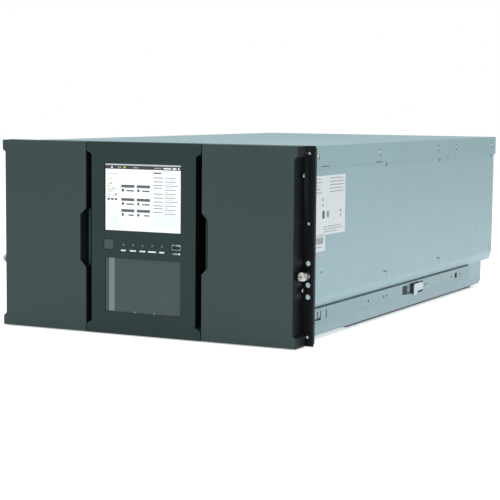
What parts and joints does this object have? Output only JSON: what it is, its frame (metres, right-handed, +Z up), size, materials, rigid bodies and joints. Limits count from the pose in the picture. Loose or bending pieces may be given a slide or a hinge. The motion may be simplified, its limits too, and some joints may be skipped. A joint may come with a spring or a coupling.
{
  "type": "data tape library",
  "caption": "Rack-mount tape library: steel case with side doors on sliding magazines, touch screen, smoked window, geared lift robot, rear tape drives and power supplies.",
  "frame": {"origin": "middle of the footprint, at the underside of the glide strips", "axes": "+X right seen from the front, +Y to the rear, +Z up"},
  "size_m": [0.4826, 0.861, 0.2655],
  "materials": {
    "side_steel": "satin pre-coated sheet, pale blue-grey",
    "inner_steel": "galvanised sheet",
    "black_paint": "satin black powder coat",
    "front_paint": "satin dark green-grey paint, fine texture",
    "nickel": "bright nickel plate",
    "screen": "lit display under a clear cover",
    "button": "fine matte",
    "light_pipe": "clear moulded light pipe",
    "board": "solder mask over laminate",
    "pane": "smoked, polished",
    "comb_plastic": "moulded, fine matte",
    "cartridge": "moulded, fine texture",
    "guide": "slippery moulding",
    "rack_steel": "machined",
    "aluminium": "extruded, satin",
    "robot_plastic": "moulded, fine matte",
    "module_steel": "plated sheet over light castings and boards",
    "fan_plastic": "moulded",
    "inlet_plastic": "moulded",
    "strip": "matte"
  },
  "bodies": {
    "chassis": {"base_tray": "side_steel", "glide_strips": "strip", "side_panel_left": "side_steel", "side_panel_right": "side_steel", "side_rail_left": "side_steel", "side_rail_right": "side_steel", "top_cover": "side_steel", "rear_cover": "side_steel", "rear_panel": "side_steel", "rack_ear_left": "black_paint", "rack_ear_right": "black_paint", "thumbscrew_collars": "nickel", "front_frame": "black_paint", "centre_panel": "front_paint", "touch_screen": "screen", "status_lights": "light_pipe", "usb_port": "nickel", "window_pane": "pane", "panel_board": "board", "magazine_guides": "guide", "bay_bulkheads": "inner_steel", "lift_racks": "rack_steel", "rack_posts": "inner_steel", "drive_bay_walls": "inner_steel", "tape_drive_1": "module_steel", "tape_drive_2": "module_steel", "tape_drive_3": "module_steel", "drive_blanks": "module_steel", "rear_shelves": "inner_steel", "power_supply_1": "module_steel", "power_supply_2": "module_steel", "fan_guards": "nickel", "power_inlets": "inlet_plastic", "controller": "module_steel", "network_ports": "nickel"},
    "door_and_magazine_left": {"door_left": "front_paint", "magazine_left": "inner_steel", "slot_combs_left": "comb_plastic", "cartridges_left": "cartridge"},
    "door_and_magazine_right": {"door_right": "front_paint", "magazine_right": "inner_steel", "slot_combs_right": "comb_plastic", "cartridges_right": "cartridge"},
    "power_key": {"power_button": "button"},
    "left_thumbscrew": {"thumbscrew_left": "nickel"},
    "right_thumbscrew": {"thumbscrew_right": "nickel"},
    "left_rail_latch": {"rail_latch_left": "nickel"},
    "right_rail_latch": {"rail_latch_right": "nickel"},
    "lift": {"lift_beams": "aluminium", "lift_crossbars": "aluminium"},
    "front_lift_shaft": {"front_shaft": "rack_steel"},
    "rear_lift_shaft": {"rear_shaft": "rack_steel"},
    "picker_carriage": {"carriage": "robot_plastic"},
    "turning_picker": {"picker": "robot_plastic"},
    "gripper_slide": {"gripper": "aluminium"},
    "upper_fan": {"supply_fan_2": "fan_plastic"},
    "lower_fan": {"supply_fan_1": "fan_plastic"}
  },
  "joints": [
    {"name": "left_magazine_slide", "type": "slide", "parent": "chassis", "child": "door_and_magazine_left", "axis": [0, -1, 0], "range_m": [0, 0.42]},
    {"name": "right_magazine_slide", "type": "slide", "parent": "chassis", "child": "door_and_magazine_right", "axis": [0, -1, 0], "range_m": [0, 0.42]},
    {"name": "power_button_travel", "type": "slide", "parent": "chassis", "child": "power_key", "axis": [0, 1, 0], "range_m": [0, 0.0015], "stiffness_N_per_m": 800, "springref_m": -0.0005},
    {"name": "left_thumbscrew_turn", "type": "hinge", "parent": "chassis", "child": "left_thumbscrew", "pos_m": [-0.23255, -0.4045, 0.0954], "axis": [0, 1, 0], "continuous": true},
    {"name": "right_thumbscrew_turn", "type": "hinge", "parent": "chassis", "child": "right_thumbscrew", "pos_m": [0.23255, -0.4045, 0.0954], "axis": [0, 1, 0], "continuous": true},
    {"name": "left_rail_latch_turn", "type": "hinge", "parent": "chassis", "child": "left_rail_latch", "pos_m": [-0.2205, 0.0615, 0.03375], "axis": [1, 0, 0], "range_deg": [0, 12], "stiffness_Nm_per_rad": 0.05, "springref_deg": -2.86},
    {"name": "right_rail_latch_turn", "type": "hinge", "parent": "chassis", "child": "right_rail_latch", "pos_m": [0.2205, 0.0615, 0.03375], "axis": [1, 0, 0], "range_deg": [0, 12], "stiffness_Nm_per_rad": 0.05, "springref_deg": -2.86},
    {"name": "lift_travel", "type": "slide", "parent": "chassis", "child": "lift", "axis": [0, 0, 1], "range_m": [-0.1694, 0.0484]},
    {"name": "front_shaft_turn", "type": "hinge", "parent": "lift", "child": "front_lift_shaft", "pos_m": [0, -0.3765, 0.1885], "axis": [1, 0, 0], "range_deg": [-1083.4, 313.1]},
    {"name": "rear_shaft_turn", "type": "hinge", "parent": "lift", "child": "rear_lift_shaft", "pos_m": [0, 0.1275, 0.1885], "axis": [1, 0, 0], "range_deg": [-313.1, 1083.4]},
    {"name": "carriage_travel", "type": "slide", "parent": "lift", "child": "picker_carriage", "axis": [0, 1, 0], "range_m": [-0.108, 0.216]},
    {"name": "picker_turn", "type": "hinge", "parent": "picker_carriage", "child": "turning_picker", "pos_m": [0, -0.1785, 0.197], "axis": [0, 0, 1], "range_deg": [-90, 90]},
    {"name": "gripper_travel", "type": "slide", "parent": "turning_picker", "child": "gripper_slide", "axis": [0, 1, 0], "range_m": [0, 0.113]},
    {"name": "lower_fan_turn", "type": "hinge", "parent": "chassis", "child": "lower_fan", "pos_m": [-0.183, 0.3735, 0.0338], "axis": [0, 1, 0], "continuous": true},
    {"name": "upper_fan_turn", "type": "hinge", "parent": "chassis", "child": "upper_fan", "pos_m": [-0.183, 0.3735, 0.0756], "axis": [0, 1, 0], "continuous": true}
  ],
  "couplings": [
    {"joint": "front_shaft_turn", "follows": "lift_travel", "rad_per_m": 111.11},
    {"joint": "rear_shaft_turn", "follows": "lift_travel", "rad_per_m": -111.11}
  ]
}
